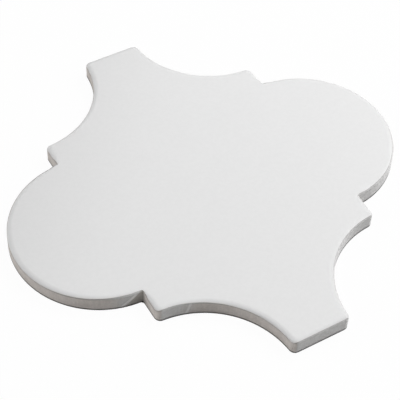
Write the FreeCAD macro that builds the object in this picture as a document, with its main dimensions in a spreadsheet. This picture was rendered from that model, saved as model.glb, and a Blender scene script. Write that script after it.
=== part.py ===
# Arabesque wall tile: one piece of pressed, glazed and fired clay.
# Two round lobes lie on the X axis and two scooped necks on the Y axis. The scoops have the
# lobes' own radius, because in a laid wall each scoop takes the lobe of a neighbouring tile.
# The origin is at the middle of the back, the glazed face looks up along +Z, units are mm.
import FreeCAD
import Part
import math
import os
import Sketcher

NODE = "arabesque_tile"
START, END, CENTRE = 1, 2, 3
X_AXIS = -1
UP = FreeCAD.Vector(0, 0, 1)
NEAR = 1e-4

# Driving dimensions: name, millimetres, what is measured
SIZES = (
    ("tile_length", 150.0, "lobe tip to lobe tip"),
    ("tile_height", 149.3, "neck end to neck end"),
    ("thickness", 6.0, "back to glazed face"),
    ("arc_radius", 32.35, "the lobes, and the scoops that take the next tiles' lobes"),
    ("neck_width", 22.5, "scoop to scoop at a neck's end"),
    ("tip_radius", 2.2, "shoulder tips and neck corners in plan"),
    ("notch_radius", 0.5, "root of the notch between a lobe and its shoulder"),
    ("edge_radius", 1.4, "rounded rim of the glazed face"),
    ("back_chamfer", 0.2, "broken edge round the back"),
    ("key_margin", 7.5, "plain border round the keyed field of the back"),
    ("key_pitch", 12.5, "rib to rib in the keyed field"),
    ("rib_width", 3.0, "flat face of a rib"),
    ("key_depth", 0.7, "depth of the cells between the ribs"),
    ("key_draft", 0.4, "how far a cell's side leans in over its depth"),
)

doc = FreeCAD.newDocument("ArabesqueTile")
sheet = doc.addObject("Spreadsheet::Sheet", "Sizes")
for row, (alias, value, meaning) in enumerate(SIZES, start=1):
    sheet.set(f"A{row}", alias)
    sheet.set(f"B{row}", str(value))
    sheet.set(f"C{row}", meaning)
    sheet.setAlias(f"B{row}", alias)
doc.recompute()


def size(alias):
    """A driving dimension, read back from the sheet."""
    return float(sheet.get(alias))


def origin_feature(body, role):
    """One of a body's own base planes or axes."""
    return next(feature for feature in body.Origin.OriginFeatures if feature.Role == role)


def sketch_on_back(body, name):
    """An empty sketch on the plane of the tile's back."""
    sketch = body.newObject("Sketcher::SketchObject", name)
    sketch.AttachmentSupport = (origin_feature(body, "XY_Plane"), "")
    sketch.MapMode = "FlatFace"
    return sketch


def bind(sketch, kind, where, value, expression):
    """Adds a dimension to a sketch and ties it to the sheet."""
    index = sketch.addConstraint(Sketcher.Constraint(kind, *where, abs(value)))
    sketch.setExpression(f"Constraints[{index}]", expression)


def bind_from_origin(sketch, kind, point, value, expression):
    """Ties a point's distance from the origin along X or Y, on the side that value's sign gives."""
    origin = (-1, START)
    where = (*origin, *point) if value > 0 else (*point, *origin)
    bind(sketch, kind, where, value, expression)


def arc(sketch, centre, radius, first, last):
    """Adds an arc that runs counter-clockwise from one point to another round a centre."""
    from_angle = math.atan2(first[1] - centre[1], first[0] - centre[0])
    to_angle = math.atan2(last[1] - centre[1], last[0] - centre[0])
    if to_angle < from_angle:
        to_angle += 2 * math.pi
    circle = Part.Circle(FreeCAD.Vector(*centre, 0), UP, radius)
    return sketch.addGeometry(Part.ArcOfCircle(circle, from_angle, to_angle))


def line(sketch, first, last):
    """Adds a straight line between two points."""
    return sketch.addGeometry(Part.LineSegment(FreeCAD.Vector(*first, 0), FreeCAD.Vector(*last, 0)))


def join(sketch, one, other):
    """Makes two ends of an outline meet."""
    sketch.addConstraint(Sketcher.Constraint("Coincident", *one, *other))


def draw_outline(body, name, margin_alias=None):
    """The tile's outline with sharp corners, or the same outline drawn in by a margin."""
    margin = size(margin_alias) if margin_alias else 0.0
    less = f" - Sizes.{margin_alias}" if margin_alias else ""
    more = f" + Sizes.{margin_alias}" if margin_alias else ""
    shoulder = size("neck_width") / 2 + size("arc_radius")
    half_height = size("tile_height") / 2
    lobe_middle = size("tile_length") / 2 - size("arc_radius")
    lobe_radius = size("arc_radius") - margin
    scoop_radius = size("arc_radius") + margin
    step_x = shoulder - margin
    neck_y = half_height - margin
    notch_y = math.sqrt(lobe_radius ** 2 - (step_x - lobe_middle) ** 2)
    reach = math.sqrt(scoop_radius ** 2 - margin ** 2)
    tip_y = half_height - reach
    neck_x = shoulder - reach
    sketch = sketch_on_back(body, name)

    # the straight ends of the two necks
    necks = {}
    for up in (1, -1):
        neck = line(sketch, (-neck_x, up * neck_y), (neck_x, up * neck_y))
        sketch.addConstraint(Sketcher.Constraint("Horizontal", neck))
        bind_from_origin(sketch, "DistanceY", (neck, START), up * neck_y,
                         "Sizes.tile_height / 2" + less)
        necks[up] = neck

    for side in (1, -1):
        # a lobe, more or less half a circle
        low = (side * step_x, -side * notch_y)
        high = (side * step_x, side * notch_y)
        lobe = arc(sketch, (side * lobe_middle, 0), lobe_radius, low, high)
        bind(sketch, "Radius", (lobe,), lobe_radius, "Sizes.arc_radius" + less)
        sketch.addConstraint(Sketcher.Constraint("PointOnObject", lobe, CENTRE, X_AXIS))
        bind_from_origin(sketch, "DistanceX", (lobe, CENTRE), side * lobe_middle,
                         "Sizes.tile_length / 2 - Sizes.arc_radius")
        for up in (1, -1):
            # the straight step from the notch out to the shoulder's tip
            notch_point = (side * step_x, up * notch_y)
            tip_point = (side * step_x, up * tip_y)
            step = line(sketch, notch_point, tip_point)
            sketch.addConstraint(Sketcher.Constraint("Vertical", step))
            bind_from_origin(sketch, "DistanceX", (step, START), side * step_x,
                             "Sizes.neck_width / 2 + Sizes.arc_radius" + less)
            join(sketch, (lobe, END if up == side else START), (step, START))

            # the scoop, a quarter circle from the shoulder's tip to the neck's corner
            neck_point = (side * neck_x, up * neck_y)
            middle = (side * shoulder, up * half_height)
            neck_first = up == side
            ends = (neck_point, tip_point) if neck_first else (tip_point, neck_point)
            scoop = arc(sketch, middle, scoop_radius, *ends)
            bind(sketch, "Radius", (scoop,), scoop_radius, "Sizes.arc_radius" + more)
            bind_from_origin(sketch, "DistanceX", (scoop, CENTRE), middle[0],
                             "Sizes.neck_width / 2 + Sizes.arc_radius")
            bind_from_origin(sketch, "DistanceY", (scoop, CENTRE), middle[1],
                             "Sizes.tile_height / 2")
            join(sketch, (step, END), (scoop, END if neck_first else START))
            join(sketch, (scoop, START if neck_first else END), (necks[up], END if side > 0 else START))
    return sketch


def pad(body, name, sketch, alias):
    """Raises a sketch from the back plane by a height of the sheet."""
    feature = body.newObject("PartDesign::Pad", name)
    feature.Profile = sketch
    feature.setExpression("Length", f"Sizes.{alias}")
    sketch.Visibility = False
    doc.recompute()
    return feature


def upright_corners(feature):
    """The names of the upright corner edges: the four in the notches, then the eight outer ones."""
    corners = []
    for number, edge in enumerate(feature.Shape.Edges, start=1):
        ends = [vertex.Point for vertex in edge.Vertexes]
        if len(ends) == 2 and abs(ends[0].x - ends[1].x) < NEAR and abs(ends[0].y - ends[1].y) < NEAR:
            corners.append((abs(ends[0].y), f"Edge{number}"))
    names = [name for distance, name in sorted(corners)]
    return names[:4], names[4:]


def edges_at_height(feature, height):
    """The names of the edges that lie wholly in one level plane."""
    box_of = [(f"Edge{number}", edge.BoundBox)
              for number, edge in enumerate(feature.Shape.Edges, start=1)]
    return [name for name, box in box_of
            if abs(box.ZMin - height) < NEAR and abs(box.ZMax - height) < NEAR]


def dress(body, kind, name, base, edges, dimension, alias):
    """Rounds or bevels edges of the last feature by a dimension of the sheet."""
    feature = body.newObject(f"PartDesign::{kind}", name)
    feature.Base = (base, edges)
    feature.setExpression(dimension, f"Sizes.{alias}")
    doc.recompute()
    return feature


# The pressed blank: outline, rounded corners, rounded rim of the face, broken edge of the back
tile = doc.addObject("PartDesign::Body", "Tile")
tile.Label = NODE
blank = pad(tile, "Blank", draw_outline(tile, "Outline"), "thickness")
tips = dress(tile, "Fillet", "Tips", blank, upright_corners(blank)[1], "Radius", "tip_radius")
notches = dress(tile, "Fillet", "Notches", tips, upright_corners(tips)[0], "Radius", "notch_radius")
face_edges = edges_at_height(notches, size("thickness"))
rim = dress(tile, "Fillet", "Rim", notches, face_edges, "Radius", "edge_radius")
back_edge = dress(tile, "Chamfer", "BackEdge", rim, edges_at_height(rim, 0.0), "Size", "back_chamfer")

# The cells of the back that grip the mortar: a field inside a plain border, parted by ribs.
# Their sides lean, so that the pressed clay leaves the die.
cells = doc.addObject("PartDesign::Body", "Cells")
cells.AllowCompound = True
field = pad(cells, "Field", draw_outline(cells, "FieldOutline", "key_margin"), "key_depth")
field_sides = [f"Face{number}" for number, face in enumerate(field.Shape.Faces, start=1)
               if face.BoundBox.ZLength > NEAR]
leaning_field = cells.newObject("PartDesign::Draft", "LeaningField")
leaning_field.Base = (field, field_sides)
leaning_field.NeutralPlane = (origin_feature(cells, "XY_Plane"), [""])
leaning_field.setExpression("Angle", "atan(Sizes.key_draft / Sizes.key_depth)")
doc.recompute()


def part_by_ribs(name, section_plane, row_axis, span_alias):
    """Parts the field by a row of ribs, one in the middle and the rest evenly to both sides."""
    each_side = f"floor((Sizes.{span_alias} / 2 - Sizes.key_margin) / Sizes.key_pitch)"
    room = size(span_alias) / 2 - size("key_margin")
    outermost = math.floor(room / size("key_pitch")) * size("key_pitch")
    half_face = size("rib_width") / 2
    half_foot = half_face + size("key_draft")
    depth = size("key_depth")

    # the section of the first rib, narrow at the back's face and wide at the cells' floor
    sketch = cells.newObject("Sketcher::SketchObject", f"{name}Section")
    sketch.AttachmentSupport = (origin_feature(cells, section_plane), "")
    sketch.MapMode = "FlatFace"
    corners = ((-outermost - half_face, 0), (-outermost + half_face, 0),
               (-outermost + half_foot, depth), (-outermost - half_foot, depth))
    sides = [line(sketch, corners[turn], corners[(turn + 1) % 4]) for turn in range(4)]
    for turn in range(4):
        join(sketch, (sides[turn], END), (sides[(turn + 1) % 4], START))
    sketch.addConstraint(Sketcher.Constraint("PointOnObject", sides[0], START, X_AXIS))
    sketch.addConstraint(Sketcher.Constraint("Horizontal", sides[0]))
    sketch.addConstraint(Sketcher.Constraint("Horizontal", sides[2]))
    bind_from_origin(sketch, "DistanceY", (sides[2], START), depth, "Sizes.key_depth")
    place = f"{each_side} * Sizes.key_pitch"
    reach = ("+ Sizes.rib_width / 2", "- Sizes.rib_width / 2",
             "- Sizes.rib_width / 2 - Sizes.key_draft", "+ Sizes.rib_width / 2 + Sizes.key_draft")
    for turn in range(4):
        bind_from_origin(sketch, "DistanceX", (sides[turn], START), corners[turn][0],
                         f"{place} {reach[turn]}")

    rib = cells.newObject("PartDesign::Pocket", name)
    rib.Profile = sketch
    rib.Type = "ThroughAll"
    rib.Midplane = True
    sketch.Visibility = False
    doc.recompute()
    row = cells.newObject("PartDesign::LinearPattern", f"{name}Row")
    row.Originals = [rib]
    row.Direction = (origin_feature(cells, row_axis), [""])
    row.setExpression("Length", f"2 * {place}")
    row.setExpression("Occurrences", f"2 * {each_side} + 1")
    cells.Tip = row
    doc.recompute()


part_by_ribs("UprightRibs", "XZ_Plane", "X_Axis", "tile_length")
part_by_ribs("LevelRibs", "YZ_Plane", "Y_Axis", "tile_height")

keyed_back = tile.newObject("PartDesign::Boolean", "KeyedBack")
keyed_back.Type = "Cut"
keyed_back.setObjects([cells])
tile.Tip = keyed_back
doc.recompute()

# Every object is checked before the tile is written out
for thing in doc.Objects:
    if "Invalid" in thing.State or "Error" in thing.State:
        raise RuntimeError(f"{thing.Name} did not recompute")
    if thing.isDerivedFrom("Part::Feature"):
        if thing.Shape.isNull() or not thing.Shape.isValid():
            raise RuntimeError(f"{thing.Name} has no valid shape")
if len(tile.Shape.Solids) != 1:
    raise RuntimeError("the tile is not one solid")
os.makedirs("parts", exist_ok=True)
tile.Shape.exportStep(f"parts/{NODE}.step")
print(f"{NODE}: {tile.Shape.Volume / 1000:.2f} cubic centimetres, {len(tile.Shape.Faces)} faces")
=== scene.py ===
import bmesh
import bpy
import math
from mathutils import Matrix, Vector, noise


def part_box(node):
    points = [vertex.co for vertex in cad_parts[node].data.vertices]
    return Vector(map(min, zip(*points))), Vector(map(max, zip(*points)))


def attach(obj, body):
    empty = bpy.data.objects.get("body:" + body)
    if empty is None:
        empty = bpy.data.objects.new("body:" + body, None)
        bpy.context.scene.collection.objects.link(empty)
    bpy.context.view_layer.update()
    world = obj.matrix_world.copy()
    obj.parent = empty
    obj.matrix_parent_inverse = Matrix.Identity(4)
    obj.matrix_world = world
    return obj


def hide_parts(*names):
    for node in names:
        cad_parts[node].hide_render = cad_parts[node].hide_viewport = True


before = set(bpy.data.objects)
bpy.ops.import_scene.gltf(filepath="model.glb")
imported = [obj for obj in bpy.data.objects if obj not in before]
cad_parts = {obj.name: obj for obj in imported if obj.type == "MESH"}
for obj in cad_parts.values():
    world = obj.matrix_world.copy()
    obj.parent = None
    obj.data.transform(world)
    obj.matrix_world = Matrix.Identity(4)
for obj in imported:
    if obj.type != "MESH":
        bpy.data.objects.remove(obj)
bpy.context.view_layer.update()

# The pressed blank. Dry clay powder is pressed in a steel die that gives the outline: two round
# lobes on the X axis and two necks on the Y axis, each neck left between two scoops of the lobes'
# own radius, so that a neighbour's lobe lies in every scoop of a laid wall.
MM = 0.001
half_length, half_height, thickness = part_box("arabesque_tile")[1]
arc_radius = 32.35 * MM
neck_half = 11.25 * MM
tip_radius = 2.2 * MM
notch_radius = 0.5 * MM
back_chamfer = 0.2 * MM
shoulder = neck_half + arc_radius
lobe_middle = half_length - arc_radius


def sweep(mesh, line, centre, turn, steps):
    """Carries a line on round a centre; a positive turn runs counter-clockwise."""
    done = bmesh.ops.spin(mesh, geom=[line[-1]], cent=(*centre, 0), axis=(0, 0, 1), angle=turn, steps=steps)
    line.append(next(part for part in done["geom_last"] if isinstance(part, bmesh.types.BMVert)))


def run_to(mesh, line, place, steps):
    """Carries a line straight on to a place."""
    begin = line[-1].co.copy()
    for step in range(1, steps + 1):
        done = bmesh.ops.extrude_vert_indiv(mesh, verts=[line[-1]])
        done["verts"][0].co = begin.lerp(Vector((*place, 0)), step / steps)
        line.append(done["verts"][0])


def complete(mesh):
    """Mirrors a quarter of an outline to all four and fills it with one face."""
    for axis in "XY":
        bmesh.ops.mirror(mesh, geom=mesh.verts[:] + mesh.edges[:], axis=axis, merge_dist=0.01 * MM)
    return bmesh.ops.edgeloop_fill(mesh, edges=mesh.edges[:])["faces"][0]


# a quarter of the outline: lobe, notch, step, shoulder tip, scoop, neck corner, neck end
notch_x = shoulder + notch_radius
notch_y = math.sqrt((arc_radius + notch_radius) ** 2 - (notch_x - lobe_middle) ** 2)
lobe_turn = math.atan2(notch_y, notch_x - lobe_middle)
scoop_reach = math.sqrt((arc_radius + tip_radius) ** 2 - tip_radius ** 2)
corner_lean = math.asin(tip_radius / (arc_radius + tip_radius))
tip_turn = math.pi / 2 - corner_lean
lobe_steps, notch_steps, straight_steps, tip_steps, scoop_steps = 110, 12, 20, 8, 104
tile = bmesh.new()
lip_shade = tile.verts.layers.float.new("lip_shade")
die_line = [tile.verts.new((half_length, 0, 0))]
sweep(tile, die_line, (lobe_middle, 0), lobe_turn, lobe_steps)
sweep(tile, die_line, (notch_x, notch_y), -lobe_turn, notch_steps)
run_to(tile, die_line, (shoulder, half_height - scoop_reach), straight_steps)
sweep(tile, die_line, (shoulder - tip_radius, half_height - scoop_reach), tip_turn, tip_steps)
sweep(tile, die_line, (shoulder, half_height), corner_lean - tip_turn, scoop_steps)
sweep(tile, die_line, (shoulder - scoop_reach, half_height - tip_radius), tip_turn, tip_steps)
run_to(tile, die_line, (0, half_height), straight_steps)
face = complete(tile)
bmesh.ops.translate(tile, verts=tile.verts[:], vec=(0, 0, back_chamfer))
face.normal_update()
if face.normal.z < 0:
    bmesh.ops.reverse_faces(tile, faces=[face])

# which way the side looks at each corner of the outline
die_edge = [corner.co.copy() for corner in face.verts]
outward = []
for number, corner in enumerate(die_edge):
    before = (corner - die_edge[number - 1]).normalized()
    after = (die_edge[(number + 1) % len(die_edge)] - corner).normalized()
    along = (before + after).normalized()
    outward.append(Vector((along.y, -along.x, 0)))


def add_row(insets, heights, shades):
    """Adds a row round the top of the blank: an inset, a height and a lip shade for each corner."""
    sides = bmesh.ops.inset_region(tile, faces=[face], thickness=0, use_boundary=True)["faces"]
    for number, corner in enumerate(face.verts):
        corner.co = die_edge[number] - outward[number] * insets[number]
        corner.co.z = heights[number]
        corner[lip_shade] = shades[number]
    return sides


def ease(value, low, high):
    """A soft step from 0 at low to 1 at high."""
    share = min(max((value - low) / (high - low), 0.0), 1.0)
    return share * share * (3 - 2 * share)


# the soft edge of the face: widest and deepest on the sides that look towards +X and +Y, crisper on
# those that look towards -X and -Y, and tight in the notches
crisp_side = Vector((-0.54, -0.84, 0))
widest, crisp_width, crisp_width_lean = 2.0 * MM, 0.5 * MM, 0.4 * MM
deepest, crisp_drop, crisp_drop_lean = 1.15 * MM, 0.5 * MM, 0.25 * MM
notch = Vector((notch_x, notch_y, back_chamfer))
notch_near, notch_far = 0.5 * MM, 3.5 * MM
notch_tightness = 0.55

# the lip of the glaze, in degrees up that edge: lowest on the sides that look along -X, where more of
# the spray landed, higher on the lobes and in the notches, and nowhere quite level
low_lip, high_lip, lobe_lip, notch_lip = 6, 38, 8, 28
lip_rise = 42
lip_wander = 2
slow_waves, quick_waves, quick_share = 110, 420, 0.4
rim_widths = []
rim_drops = []
lip_angles = []
lip_shade_and_thin_glaze = []
under_lip_shade = []
for corner, out in zip(die_edge, outward):
    crisp = ease(out.dot(crisp_side), 0.05, 0.45)
    from_notch = (Vector((abs(corner.x), abs(corner.y), corner.z)) - notch).length
    in_notch = ease(from_notch, notch_far, notch_near)
    tight = 1 - notch_tightness * in_notch
    rim_widths.append((widest - crisp * (crisp_width + crisp_width_lean * out.x)) * tight)
    rim_drops.append((deepest - crisp * (crisp_drop + crisp_drop_lean * out.x)) * tight)
    on_lobe = ease(abs(corner.x), shoulder - 1 * MM, shoulder + 2 * MM) * ease(out.x, -0.95, -0.8)
    lip = min(low_lip + lip_rise * (1 + out.x), high_lip) + lobe_lip * on_lobe + notch_lip * in_notch
    wander = noise.noise(corner * slow_waves) + quick_share * noise.noise(corner * quick_waves)
    lip_angles.append(math.radians(lip + lip_wander * wander))

    # painted shade under the lip, with a thinner glaze line above it, weaker on the sides that look along
    # +X;
    # painted shade also on the top of the upright side where the lip hangs low, most on the -X sides
    lip_shade_and_thin_glaze.append(1 - 0.75 * ease(out.x, -0.5, 0.0) - 0.25 * ease(out.x, 0.0, 0.5))
    under_lip_shade.append(ease(out.x, -0.7, -0.97) * (1 + 0.6 * ease(out.y, -0.4, 0.1)))

# the bare side, upright up to the soft edge, with painted shade at its top where the lip hangs low
nowhere = [0.0] * len(die_edge)
side_rows = ((0.12, 0), (0.4, 0), (0.7, 0), (0.88, 0.1), (1, 0.32))
for share, shade in side_rows:
    heights = [back_chamfer + share * (thickness - drop - back_chamfer) for drop in rim_drops]
    add_row(nowhere, heights, [shade * dirt for dirt in under_lip_shade])


def add_rim_row(angles, shade, sunk=0.0):
    """Adds a row on the soft edge, with an angle round its flattened arc for each corner."""
    flat = 1.25
    insets = [width * (1 - math.cos(angle) ** flat) + sunk for width, angle in zip(rim_widths, angles)]
    heights = [thickness - drop * (1 - math.sin(angle) ** flat) for drop, angle in zip(rim_drops, angles)]
    return add_row(insets, heights, [shade * dirt for dirt in lip_shade_and_thin_glaze])


# bare clay on the soft edge, which ends under the lip, set back by the glaze's thickness, with painted
# shade growing up to the lip
lip_thickness = 0.1 * MM
clay_rim_rows = ((0.2, 0.1), (0.45, 0.35), (0.75, 0.7))
for share, shade in clay_rim_rows:
    add_rim_row([share * angle for angle in lip_angles], shade)
add_rim_row(lip_angles, 1.0, sunk=lip_thickness)

# The glaze. It is sprayed on the face and stops in a slightly wavy lip partway round the rounded
# edge; in the kiln it pulls smooth over the rim and leaves the rest of the side bare.
CLAY, GLAZE = 0, 1
# the shades give the glaze's lip a thinner, duller line, partly painted shade
glaze_rim_rows = ((0, 1.0), (0.08, 0.7), (0.2, 0.25), (0.34, 0), (0.5, 0), (0.66, 0), (0.82, 0), (1, 0))
flat_ring = 0.12 * MM

# a hair short of a right angle, so that no cosine falls below zero
quarter_turn = math.radians(89.99)
glaze_faces = [face]
for share, shade in glaze_rim_rows:
    glaze_faces += add_rim_row([angle + share * (quarter_turn - angle) for angle in lip_angles], shade)
glaze_faces += add_row([width + flat_ring for width in rim_widths], [thickness] * len(die_edge), nowhere)
for part in tile.faces:
    part.material_index = CLAY
for part in glaze_faces:
    part.material_index = GLAZE

# the flat of the face in the fullest triangles that its edge allows, with no slivers on the straights
bmesh.ops.triangulate(tile, faces=[face], quad_method="BEAUTY", ngon_method="BEAUTY")

# The back. The lower die leaves a grid of shallow cells with leaning sides inside a plain border,
# so that the bedding mortar can grip; the ribs between the cells and the border lie in one plane.
key_margin = 7.5 * MM
key_pitch = 12.5 * MM
half_rib = 1.5 * MM
key_depth = 0.7 * MM
key_draft = 0.4 * MM
rim = [edge for edge in tile.edges if edge.is_boundary]
underside = bmesh.ops.edgeloop_fill(tile, edges=rim)["faces"][0]
if underside.normal.z > 0:
    bmesh.ops.reverse_faces(tile, faces=[underside])
bmesh.ops.inset_region(tile, faces=[underside], thickness=back_chamfer, depth=back_chamfer,
                       use_even_offset=True)
border = underside.edges[:]
bmesh.ops.delete(tile, geom=[underside], context="FACES_ONLY")

# the keyed field's own outline, with sharp corners, cut into cells along both sides of each rib
field_step = shoulder - key_margin
field_reach = math.sqrt((arc_radius + key_margin) ** 2 - key_margin ** 2)
field_lean = math.asin(key_margin / (arc_radius + key_margin))
field_notch = math.sqrt((arc_radius - key_margin) ** 2 - (field_step - lobe_middle) ** 2)
field_turn = math.atan2(field_notch, field_step - lobe_middle)
field_lobe_steps, field_scoop_steps = 48, 40
field = bmesh.new()
field_line = [field.verts.new((half_length - key_margin, 0, 0))]
sweep(field, field_line, (lobe_middle, 0), field_turn, field_lobe_steps)
run_to(field, field_line, (field_step, half_height - field_reach), 1)
sweep(field, field_line, (shoulder, half_height), 2 * field_lean - math.pi / 2, field_scoop_steps)
run_to(field, field_line, (0, half_height - key_margin), 1)
complete(field)
last_rib = int(half_length / key_pitch)
for place in range(-last_rib, last_rib + 1):
    for side in (-half_rib, half_rib):
        for across in (Vector((1, 0, 0)), Vector((0, 1, 0))):
            everything = field.verts[:] + field.edges[:] + field.faces[:]
            bmesh.ops.bisect_plane(field, geom=everything, dist=0.001 * MM, plane_no=across,
                                   plane_co=across * (place * key_pitch + side))


def on_a_rib(part):
    """True for a piece of the field that stays at the back's face as a rib."""
    middle = part.calc_center_bounds()
    return any(abs(place - round(place / key_pitch) * key_pitch) < half_rib for place in middle.xy)


bmesh.ops.delete(field, geom=[part for part in field.faces if on_a_rib(part)], context="FACES")
for part in field.faces:
    if part.normal.z > 0:
        part.normal_flip()
field_mesh = bpy.data.meshes.new("keyed_field")
field.to_mesh(field_mesh)
field.free()
old_faces = set(tile.faces)
tile.from_mesh(field_mesh)
bpy.data.meshes.remove(field_mesh)
cells = [part for part in tile.faces if part not in old_faces]
mouths = {edge for cell in cells for edge in cell.edges}
bmesh.ops.triangle_fill(tile, use_beauty=True, edges=list(mouths) + border, normal=(0, 0, -1))
bmesh.ops.inset_individual(tile, faces=cells, thickness=key_draft, depth=-key_depth, use_even_offset=True)
bmesh.ops.recalc_face_normals(tile, faces=tile.faces[:])

# The fired piece: one body of clay with its skin of glaze, which comes out of the kiln as a single
# part and lies on its back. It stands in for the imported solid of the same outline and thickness.
for part in tile.faces:
    part.smooth = True
tile_mesh = bpy.data.meshes.new("glazed_tile")
tile.to_mesh(tile_mesh)
tile.free()
sharpest_smooth = math.radians(32)
tile_mesh.set_sharp_from_angle(angle=sharpest_smooth)
glazed_tile = bpy.data.objects.new("glazed_tile", tile_mesh)
bpy.context.scene.collection.objects.link(glazed_tile)
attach(glazed_tile, "root")
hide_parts("arabesque_tile")


# Bare clay, on the side below the glaze and all over the back: a warm grey biscuit, dry to the touch,
# with the fine upright drag marks of the die, and grey where a mist of glaze drifted on to the side.
def add_node(finish, kind, settings=(), **sockets):
    """Adds a node to a finish; a socket takes a value or another node's output."""
    node = finish.node_tree.nodes.new(kind)
    for key, value in dict(settings).items():
        setattr(node, key, value)
    for key, value in sockets.items():
        socket = node.inputs[int(key[1:])] if key[1:].isdigit() else node.inputs[key.replace("_", " ")]
        if isinstance(value, bpy.types.NodeSocket):
            finish.node_tree.links.new(value, socket)
        else:
            socket.default_value = value
    return node


def spread(finish, value, low, high, to_low=0.0, to_high=1.0):
    """Maps a value from one range to another, with soft ends."""
    node = add_node(finish, "ShaderNodeMapRange", {"interpolation_type": "SMOOTHSTEP"}, Value=value,
                    From_Min=low, From_Max=high, To_Min=to_low, To_Max=to_high)
    return node.outputs["Result"]


def reckon(finish, operation, first, second=0.0):
    """One step of arithmetic on two values."""
    return add_node(finish, "ShaderNodeMath", {"operation": operation}, s0=first, s1=second).outputs[0]


def tint(finish, amount, plain, tinted):
    """Mixes two colours by an amount."""
    node = add_node(finish, "ShaderNodeMix", {"data_type": "RGBA"}, s0=amount, s6=plain, s7=tinted)
    return node.outputs[2]


def grain(finish, place, scale, detail):
    """Noise with features of about one over its scale, in metres."""
    node = add_node(finish, "ShaderNodeTexNoise", (), Vector=place, Scale=scale, Detail=detail)
    return node.outputs["Fac"]


def split(finish, vector):
    """The X, Y and Z of a vector."""
    return add_node(finish, "ShaderNodeSeparateXYZ", (), Vector=vector).outputs


def lip_shading(finish):
    """How near a place is to the lip of the glaze, and how much painted shade and thinner glaze the lip has
    there.
    """
    return add_node(finish, "ShaderNodeAttribute", {"attribute_name": "lip_shade"}).outputs["Fac"]


clay = bpy.data.materials.new("bare_clay")
clay.use_nodes = True
clay_shader = clay.node_tree.nodes["Principled BSDF"]
clay_place = add_node(clay, "ShaderNodeTexCoord").outputs
clay_xyz = split(clay, clay_place["Object"])
clay_facing = split(clay, clay_place["Normal"])
clay_mottle = grain(clay, clay_place["Object"], 240, 4)
warm_clay = (0.604, 0.558, 0.523, 1)
pale_clay = (0.664, 0.62, 0.586, 1)
clay_colour = tint(clay, spread(clay, clay_mottle, 0.32, 0.68), warm_clay, pale_clay)

# the mist, on upright sides alone; on those that look along +X it is paler, partly thicker mist and
# partly painted light
thin_mist_grey = (0.626, 0.623, 0.618, 1)
thick_mist_and_light_grey = (0.735, 0.733, 0.73, 1)
on_side = spread(clay, clay_facing["Z"], -0.3, -0.1)
mist_drift = reckon(clay, "MULTIPLY", grain(clay, clay_place["Object"], 45, 2), 0.5)
mist = reckon(clay, "ADD", clay_facing["X"], mist_drift)
thin_mist = reckon(clay, "MULTIPLY", spread(clay, mist, -0.25, 0.05), on_side)
thick_mist_and_light = reckon(clay, "MULTIPLY", spread(clay, mist, 0.3, 0.8), on_side)
clay_colour = tint(clay, thin_mist, clay_colour, thin_mist_grey)
clay_colour = tint(clay, thick_mist_and_light, clay_colour, thick_mist_and_light_grey)

# painted shade on the sides that look along -X, dark specks of grog, and drag marks drawn out up the side
dark_grog_and_shade = (0.36, 0.345, 0.33, 1)
drag_stretch = (1, 1, 0.06)
dragged = add_node(clay, "ShaderNodeMapping", (), Vector=clay_place["Object"], Scale=drag_stretch)
drag_marks = grain(clay, dragged.outputs[0], 1900, 3)
grog = grain(clay, clay_place["Object"], 1300, 2)
clay_colour = tint(clay, spread(clay, clay_facing["X"], -1.0, -0.8, 0.065, 0.0), clay_colour, dark_grog_and_shade)
clay_colour = tint(clay, spread(clay, grog, 0.3, 0.7, 0.22, 0.0), clay_colour, dark_grog_and_shade)
clay_colour = tint(clay, spread(clay, drag_marks, 0.35, 0.75, 0.0, 0.16), clay_colour, dark_grog_and_shade)


def past_line(top_x, top_z, lean):
    """How far a place on the side lies past a slanting line, along X."""
    drop = reckon(clay, "SUBTRACT", top_z, clay_xyz["Z"])
    line = reckon(clay, "SUBTRACT", top_x, reckon(clay, "MULTIPLY", drop, lean))
    return reckon(clay, "SUBTRACT", clay_xyz["X"], line)


def between(value, low, high, soft):
    """1 between two limits, with soft ends outside them."""
    over = spread(clay, value, low - soft, low)
    return reckon(clay, "MULTIPLY", over, spread(clay, value, high, high + soft, 1.0, 0.0))


# a pale streak down the near left lobe, beside the notch, at the edge of the shoulder's shadow, which fades
# at both its ends
past_lobe_streak = past_line(-45.9 * MM, 5.3 * MM, 1.03)
beside_notch = between(clay_xyz["Y"], -33.0 * MM, -30.5 * MM, 0.5 * MM)
lobe_streak = reckon(clay, "MULTIPLY", between(past_lobe_streak, -0.6 * MM, 0.4 * MM, 0.6 * MM), beside_notch)
lobe_streak = reckon(clay, "MULTIPLY", lobe_streak, spread(clay, clay_xyz["Z"], 0.2 * MM, 0.7 * MM, 0.0, 0.95))
lobe_streak = reckon(clay, "MULTIPLY", lobe_streak, spread(clay, clay_xyz["Z"], 4.8 * MM, 5.6 * MM, 1.0, 0.25))

# the patch between that streak and the notch, bare of mist and darkened further as painted shadow of the
# shoulder
shadowed_bare_clay = (0.47, 0.447, 0.42, 1)
bare_shadow_patch = reckon(clay, "MULTIPLY", between(past_lobe_streak, 0.9 * MM, 8.0 * MM, 0.5 * MM), beside_notch)
bare_shadow_patch = reckon(clay, "MULTIPLY", bare_shadow_patch, between(clay_xyz["X"], -52.0 * MM, -43.7 * MM, 0.3 * MM))
clay_colour = tint(clay, reckon(clay, "MULTIPLY", bare_shadow_patch, 0.95), clay_colour, shadowed_bare_clay)

# a second, fainter pale streak down the near left scoop
streak_white = (0.84, 0.832, 0.82, 1)
past_scoop_streak = past_line(-32.27 * MM, 5.2 * MM, 0.27)
in_scoop = between(clay_xyz["Y"], -46.5 * MM, -42.5 * MM, 0.5 * MM)
scoop_streak = reckon(clay, "MULTIPLY", between(past_scoop_streak, -0.3 * MM, 0.15 * MM, 0.4 * MM), in_scoop)
scoop_streak = reckon(clay, "MULTIPLY", scoop_streak, spread(clay, clay_xyz["Z"], 0.2 * MM, 0.6 * MM, 0.0, 0.55))
clay_colour = tint(clay, reckon(clay, "MAXIMUM", lobe_streak, scoop_streak), clay_colour, streak_white)
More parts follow.
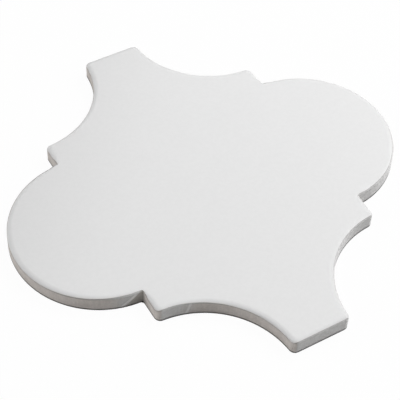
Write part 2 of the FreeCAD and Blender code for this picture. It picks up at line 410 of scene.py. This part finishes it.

# painted shade along the foot and on the broken edge of the back, and painted shade under the glaze's lip
foot_painted_shade = (0.05, 0.045, 0.04, 1)
lip_painted_shade = (0.12, 0.11, 0.1, 1)
on_broken_edge = between(clay_facing["Z"], -0.76, -0.66, 0.06)
round_foot = reckon(clay, "MAXIMUM", on_side, on_broken_edge)
foot = reckon(clay, "MULTIPLY", spread(clay, clay_xyz["Z"], 0.35 * MM, 0.9 * MM, 0.92, 0.0), round_foot)
clay_colour = tint(clay, foot, clay_colour, foot_painted_shade)
clay_colour = tint(clay, reckon(clay, "MULTIPLY", lip_shading(clay), 0.8), clay_colour, lip_painted_shade)

# traces of kiln wash on the ribs and the border of the back
kiln_wash = (0.77, 0.755, 0.735, 1)
wash_drift = spread(clay, grain(clay, clay_place["Object"], 130, 4), 0.4, 0.62, 0.0, 0.55)
on_ribs = reckon(clay, "MULTIPLY", spread(clay, clay_xyz["Z"], 0.05 * MM, 0.3 * MM, 1.0, 0.0),
                 reckon(clay, "SUBTRACT", 1.0, round_foot))
clay_colour = tint(clay, reckon(clay, "MULTIPLY", wash_drift, on_ribs), clay_colour, kiln_wash)
clay.node_tree.links.new(clay_colour, clay_shader.inputs["Base Color"])

# dry and gritty
clay_roughness = spread(clay, clay_mottle, 0.3, 0.7, 0.82, 0.92)
clay.node_tree.links.new(clay_roughness, clay_shader.inputs["Roughness"])
clay_shader.inputs["Specular IOR Level"].default_value = 0.25
clay_grit = grain(clay, clay_place["Object"], 4200, 2)
drag_bump = add_node(clay, "ShaderNodeBump", (), Strength=0.25, Distance=0.06 * MM, Height=drag_marks)
grit_bump = add_node(clay, "ShaderNodeBump", (), Strength=0.3, Distance=0.05 * MM, Height=clay_grit,
                     Normal=drag_bump.outputs["Normal"])
clay.node_tree.links.new(grit_bump.outputs["Normal"], clay_shader.inputs["Normal"])
glazed_tile.data.materials.append(clay)

# Matt white glaze, a skin of a tenth of a millimetre: an even soft white with a faint peel from the
# spray, a few pinholes, and a thinner, duller line at its lip where the clay shows through, deepened there
# with painted shade. Parts of its rim carry painted shade and a painted highlight.
glaze = bpy.data.materials.new("matt_white_glaze")
glaze.use_nodes = True
glaze_shader = glaze.node_tree.nodes["Principled BSDF"]
glaze_place = add_node(glaze, "ShaderNodeTexCoord").outputs
glaze_xyz = split(glaze, glaze_place["Object"])
glaze_facing = split(glaze, glaze_place["Normal"])
glaze_cloud = grain(glaze, glaze_place["Object"], 90, 3)
glaze_peel = grain(glaze, glaze_place["Object"], 700, 2)
dull_white = (0.827, 0.827, 0.827, 1)
bright_white = (0.837, 0.837, 0.837, 1)
glaze_colour = tint(glaze, spread(glaze, glaze_cloud, 0.3, 0.7), dull_white, bright_white)

# thinner and duller round the rim and in the hollows of the peel; painted shade on the rims that look
# along +X, on the rim of the far neck, and towards the far left of the face
thin_white_and_shade = (0.674, 0.674, 0.674, 1)
rim_thinning = spread(glaze, glaze_xyz["Z"], thickness - 0.7 * MM, thickness - 0.05 * MM, 0.04, 0.0)
right_rim_shade = spread(glaze, glaze_facing["X"], 0.03, 0.5, 0.0, 0.55)
to_far_left = reckon(glaze, "SUBTRACT", reckon(glaze, "MULTIPLY", glaze_xyz["Y"], 0.66),
                     reckon(glaze, "MULTIPLY", glaze_xyz["X"], 0.75))
far_left_shade = reckon(glaze, "MULTIPLY", spread(glaze, to_far_left, 15 * MM, 106 * MM, 0.0, 0.87),
                      spread(glaze, glaze_facing["X"], -0.8, -0.3, 0.2, 1.0))
far_neck_shade = reckon(glaze, "MULTIPLY", spread(glaze, glaze_xyz["Y"], 50 * MM, 72 * MM),
                       spread(glaze, glaze_facing["Y"], 0.03, 0.5, 0.0, 0.5))
peel_thinning = spread(glaze, glaze_peel, 0.35, 0.65, 0.07, 0.0)
thinning_and_shade = reckon(glaze, "ADD", rim_thinning, right_rim_shade)
for more in (far_left_shade, far_neck_shade, peel_thinning):
    thinning_and_shade = reckon(glaze, "ADD", thinning_and_shade, more)
glaze_colour = tint(glaze, thinning_and_shade, glaze_colour, thin_white_and_shade)

# painted highlight on the rim of the near right side
highlight_white = (0.91, 0.91, 0.91, 1)
near_right_rim_highlight = reckon(glaze, "MULTIPLY", spread(glaze, glaze_facing["Y"], -0.5, -0.03, 0.7, 0.0),
                 spread(glaze, glaze_xyz["X"], 8 * MM, 35 * MM))
glaze_colour = tint(glaze, near_right_rim_highlight, glaze_colour, highlight_white)

# the clay that shows through in the pinholes, and at the lip, where the line is partly thin glaze and
# partly painted shade
clay_and_shade_at_lip = (0.62, 0.59, 0.56, 1)
clay_in_pinhole = (0.5, 0.48, 0.46, 1)
glaze_colour = tint(glaze, reckon(glaze, "MULTIPLY", lip_shading(glaze), 0.6), glaze_colour, clay_and_shade_at_lip)
pinhole_scale = 55
pinhole_radius = 0.16 * MM
pinhole_gap = add_node(glaze, "ShaderNodeTexVoronoi", (), Vector=glaze_place["Object"], Scale=pinhole_scale)
pinholes = spread(glaze, pinhole_gap.outputs["Distance"], 0.4 * pinhole_radius * pinhole_scale,
                  pinhole_radius * pinhole_scale, 1.0, 0.0)
glaze_colour = tint(glaze, reckon(glaze, "MULTIPLY", pinholes, 0.3), glaze_colour, clay_in_pinhole)
glaze.node_tree.links.new(glaze_colour, glaze_shader.inputs["Base Color"])

# matt, with the spray's peel
glaze_roughness = spread(glaze, glaze_cloud, 0.3, 0.7, 0.7, 0.78)
glaze.node_tree.links.new(glaze_roughness, glaze_shader.inputs["Roughness"])
peel_bump = add_node(glaze, "ShaderNodeBump", (), Strength=0.08, Distance=0.05 * MM, Height=glaze_peel)
hole_bump = add_node(glaze, "ShaderNodeBump", {"invert": True}, Strength=0.4, Distance=0.05 * MM,
                     Height=pinholes, Normal=peel_bump.outputs["Normal"])
glaze.node_tree.links.new(hole_bump.outputs["Normal"], glaze_shader.inputs["Normal"])
glazed_tile.data.materials.append(glaze)

# The studio. The tile lies on a sheet of white paper, with wide soft lamps on its near right, high on
# its right and low on its far left. Where it meets the sheet, the paper is painted dark as a contact
# shadow by ambient occlusion. From below the sheet is clear, and a faint lamp there shows the back.
floor_sheet = bmesh.new()
bmesh.ops.create_grid(floor_sheet, x_segments=8, y_segments=8, size=3.0)
floor_mesh = bpy.data.meshes.new("studio_floor")
floor_sheet.to_mesh(floor_mesh)
floor_sheet.free()
floor = bpy.data.objects.new("studio_floor", floor_mesh)
bpy.context.scene.collection.objects.link(floor)


def seen_white(finish, share):
    """The share of white for rays that reach the background from the camera, a gloss or a glass."""
    ray = add_node(finish, "ShaderNodeLightPath").outputs
    seen = reckon(finish, "MAXIMUM", ray["Is Glossy Ray"], ray["Is Transmission Ray"])
    seen = reckon(finish, "MAXIMUM", ray["Is Camera Ray"], seen)
    return reckon(finish, "MULTIPLY", seen, share)


white = (1, 1, 1, 1)
paper_white = (0.86, 0.86, 0.86, 1)
contact_shadow_dark = (0.03, 0.03, 0.03, 1)
contact_width = 1.2 * MM
glow_share = 0.97
paper = bpy.data.materials.new("white_paper")
paper.use_nodes = True
paper.node_tree.nodes.clear()
# painted contact shadow: the paper darkens where ambient occlusion finds the tile close
open_sky = add_node(paper, "ShaderNodeAmbientOcclusion", {"samples": 16}, Distance=contact_width)
clear_of_tile = spread(paper, open_sky.outputs["AO"], 0.42, 0.56)
paper_colour = tint(paper, clear_of_tile, contact_shadow_dark, paper_white)
paper_matt = add_node(paper, "ShaderNodeBsdfDiffuse", (), Color=paper_colour)
paper_glow = add_node(paper, "ShaderNodeEmission", (), Color=white, Strength=1.0)
white_share = seen_white(paper, reckon(paper, "MULTIPLY", clear_of_tile, glow_share))
paper_top = add_node(paper, "ShaderNodeMixShader", (), s0=white_share, s1=paper_matt.outputs[0],
                     s2=paper_glow.outputs[0])
from_below = add_node(paper, "ShaderNodeNewGeometry").outputs["Backfacing"]
lets_lamp_through = add_node(paper, "ShaderNodeLightPath").outputs["Is Shadow Ray"]
paper_clear = add_node(paper, "ShaderNodeBsdfTransparent")
paper_sheet = add_node(paper, "ShaderNodeMixShader", (), s1=paper_top.outputs[0], s2=paper_clear.outputs[0],
                       s0=reckon(paper, "MAXIMUM", from_below, lets_lamp_through))
add_node(paper, "ShaderNodeOutputMaterial", (), Surface=paper_sheet.outputs[0])
floor.data.materials.append(paper)

room = bpy.data.worlds.new("studio")
bpy.context.scene.world = room
room.use_nodes = True
room.node_tree.nodes.clear()
room_fill = add_node(room, "ShaderNodeBackground", (), Color=white, Strength=0.03)
room_white = add_node(room, "ShaderNodeBackground", (), Color=white, Strength=1.0)
room_mix = add_node(room, "ShaderNodeMixShader", (), s0=seen_white(room, 1.0), s1=room_fill.outputs[0],
                    s2=room_white.outputs[0])
add_node(room, "ShaderNodeOutputWorld", (), Surface=room_mix.outputs[0])


def hang_lamp(name, place, width, power, beam=180):
    """A round soft lamp that faces the tile, with a beam of so many degrees."""
    lamp = bpy.data.lights.new(name, "AREA")
    lamp.shape = "DISK"
    lamp.size = width
    lamp.energy = power
    lamp.spread = math.radians(beam)
    hung = bpy.data.objects.new(name, lamp)
    bpy.context.scene.collection.objects.link(hung)
    hung.location = place
    hung.rotation_euler = (-hung.location).to_track_quat("-Z", "Y").to_euler()


hang_lamp("right_lamp", (0.738, -0.47, 0.485), 0.7, 4.25)
hang_lamp("high_lamp", (0.628, 0.14, 0.766), 0.7, 7.35)
hang_lamp("left_lamp", (-0.858, 0.313, 0.407), 0.6, 4.87)
hang_lamp("under_lamp", (0, 0, -1.0), 0.3, 0.18, beam=12)

# The camera looks down over the near left scoop, from less than half a metre away, and is a little
# turned about its own line of sight.
camera = bpy.data.cameras.new("photo_camera")
camera.sensor_width = 36
camera.lens = 112.69
viewpoint = bpy.data.objects.new("photo_camera", camera)
bpy.context.scene.collection.objects.link(viewpoint)
swing = Matrix.Rotation(math.radians(-32.45), 4, "Z")
stoop = Matrix.Rotation(math.radians(90 - 49.45), 4, "X")
roll = Matrix.Rotation(math.radians(2.91), 4, "Z")
stand_off = Matrix.Translation((-2.310 * MM, -3.522 * MM, 452.18 * MM))
viewpoint.matrix_world = swing @ stoop @ roll @ stand_off
bpy.context.scene.camera = viewpoint
bpy.context.scene.view_settings.view_transform = "Standard"
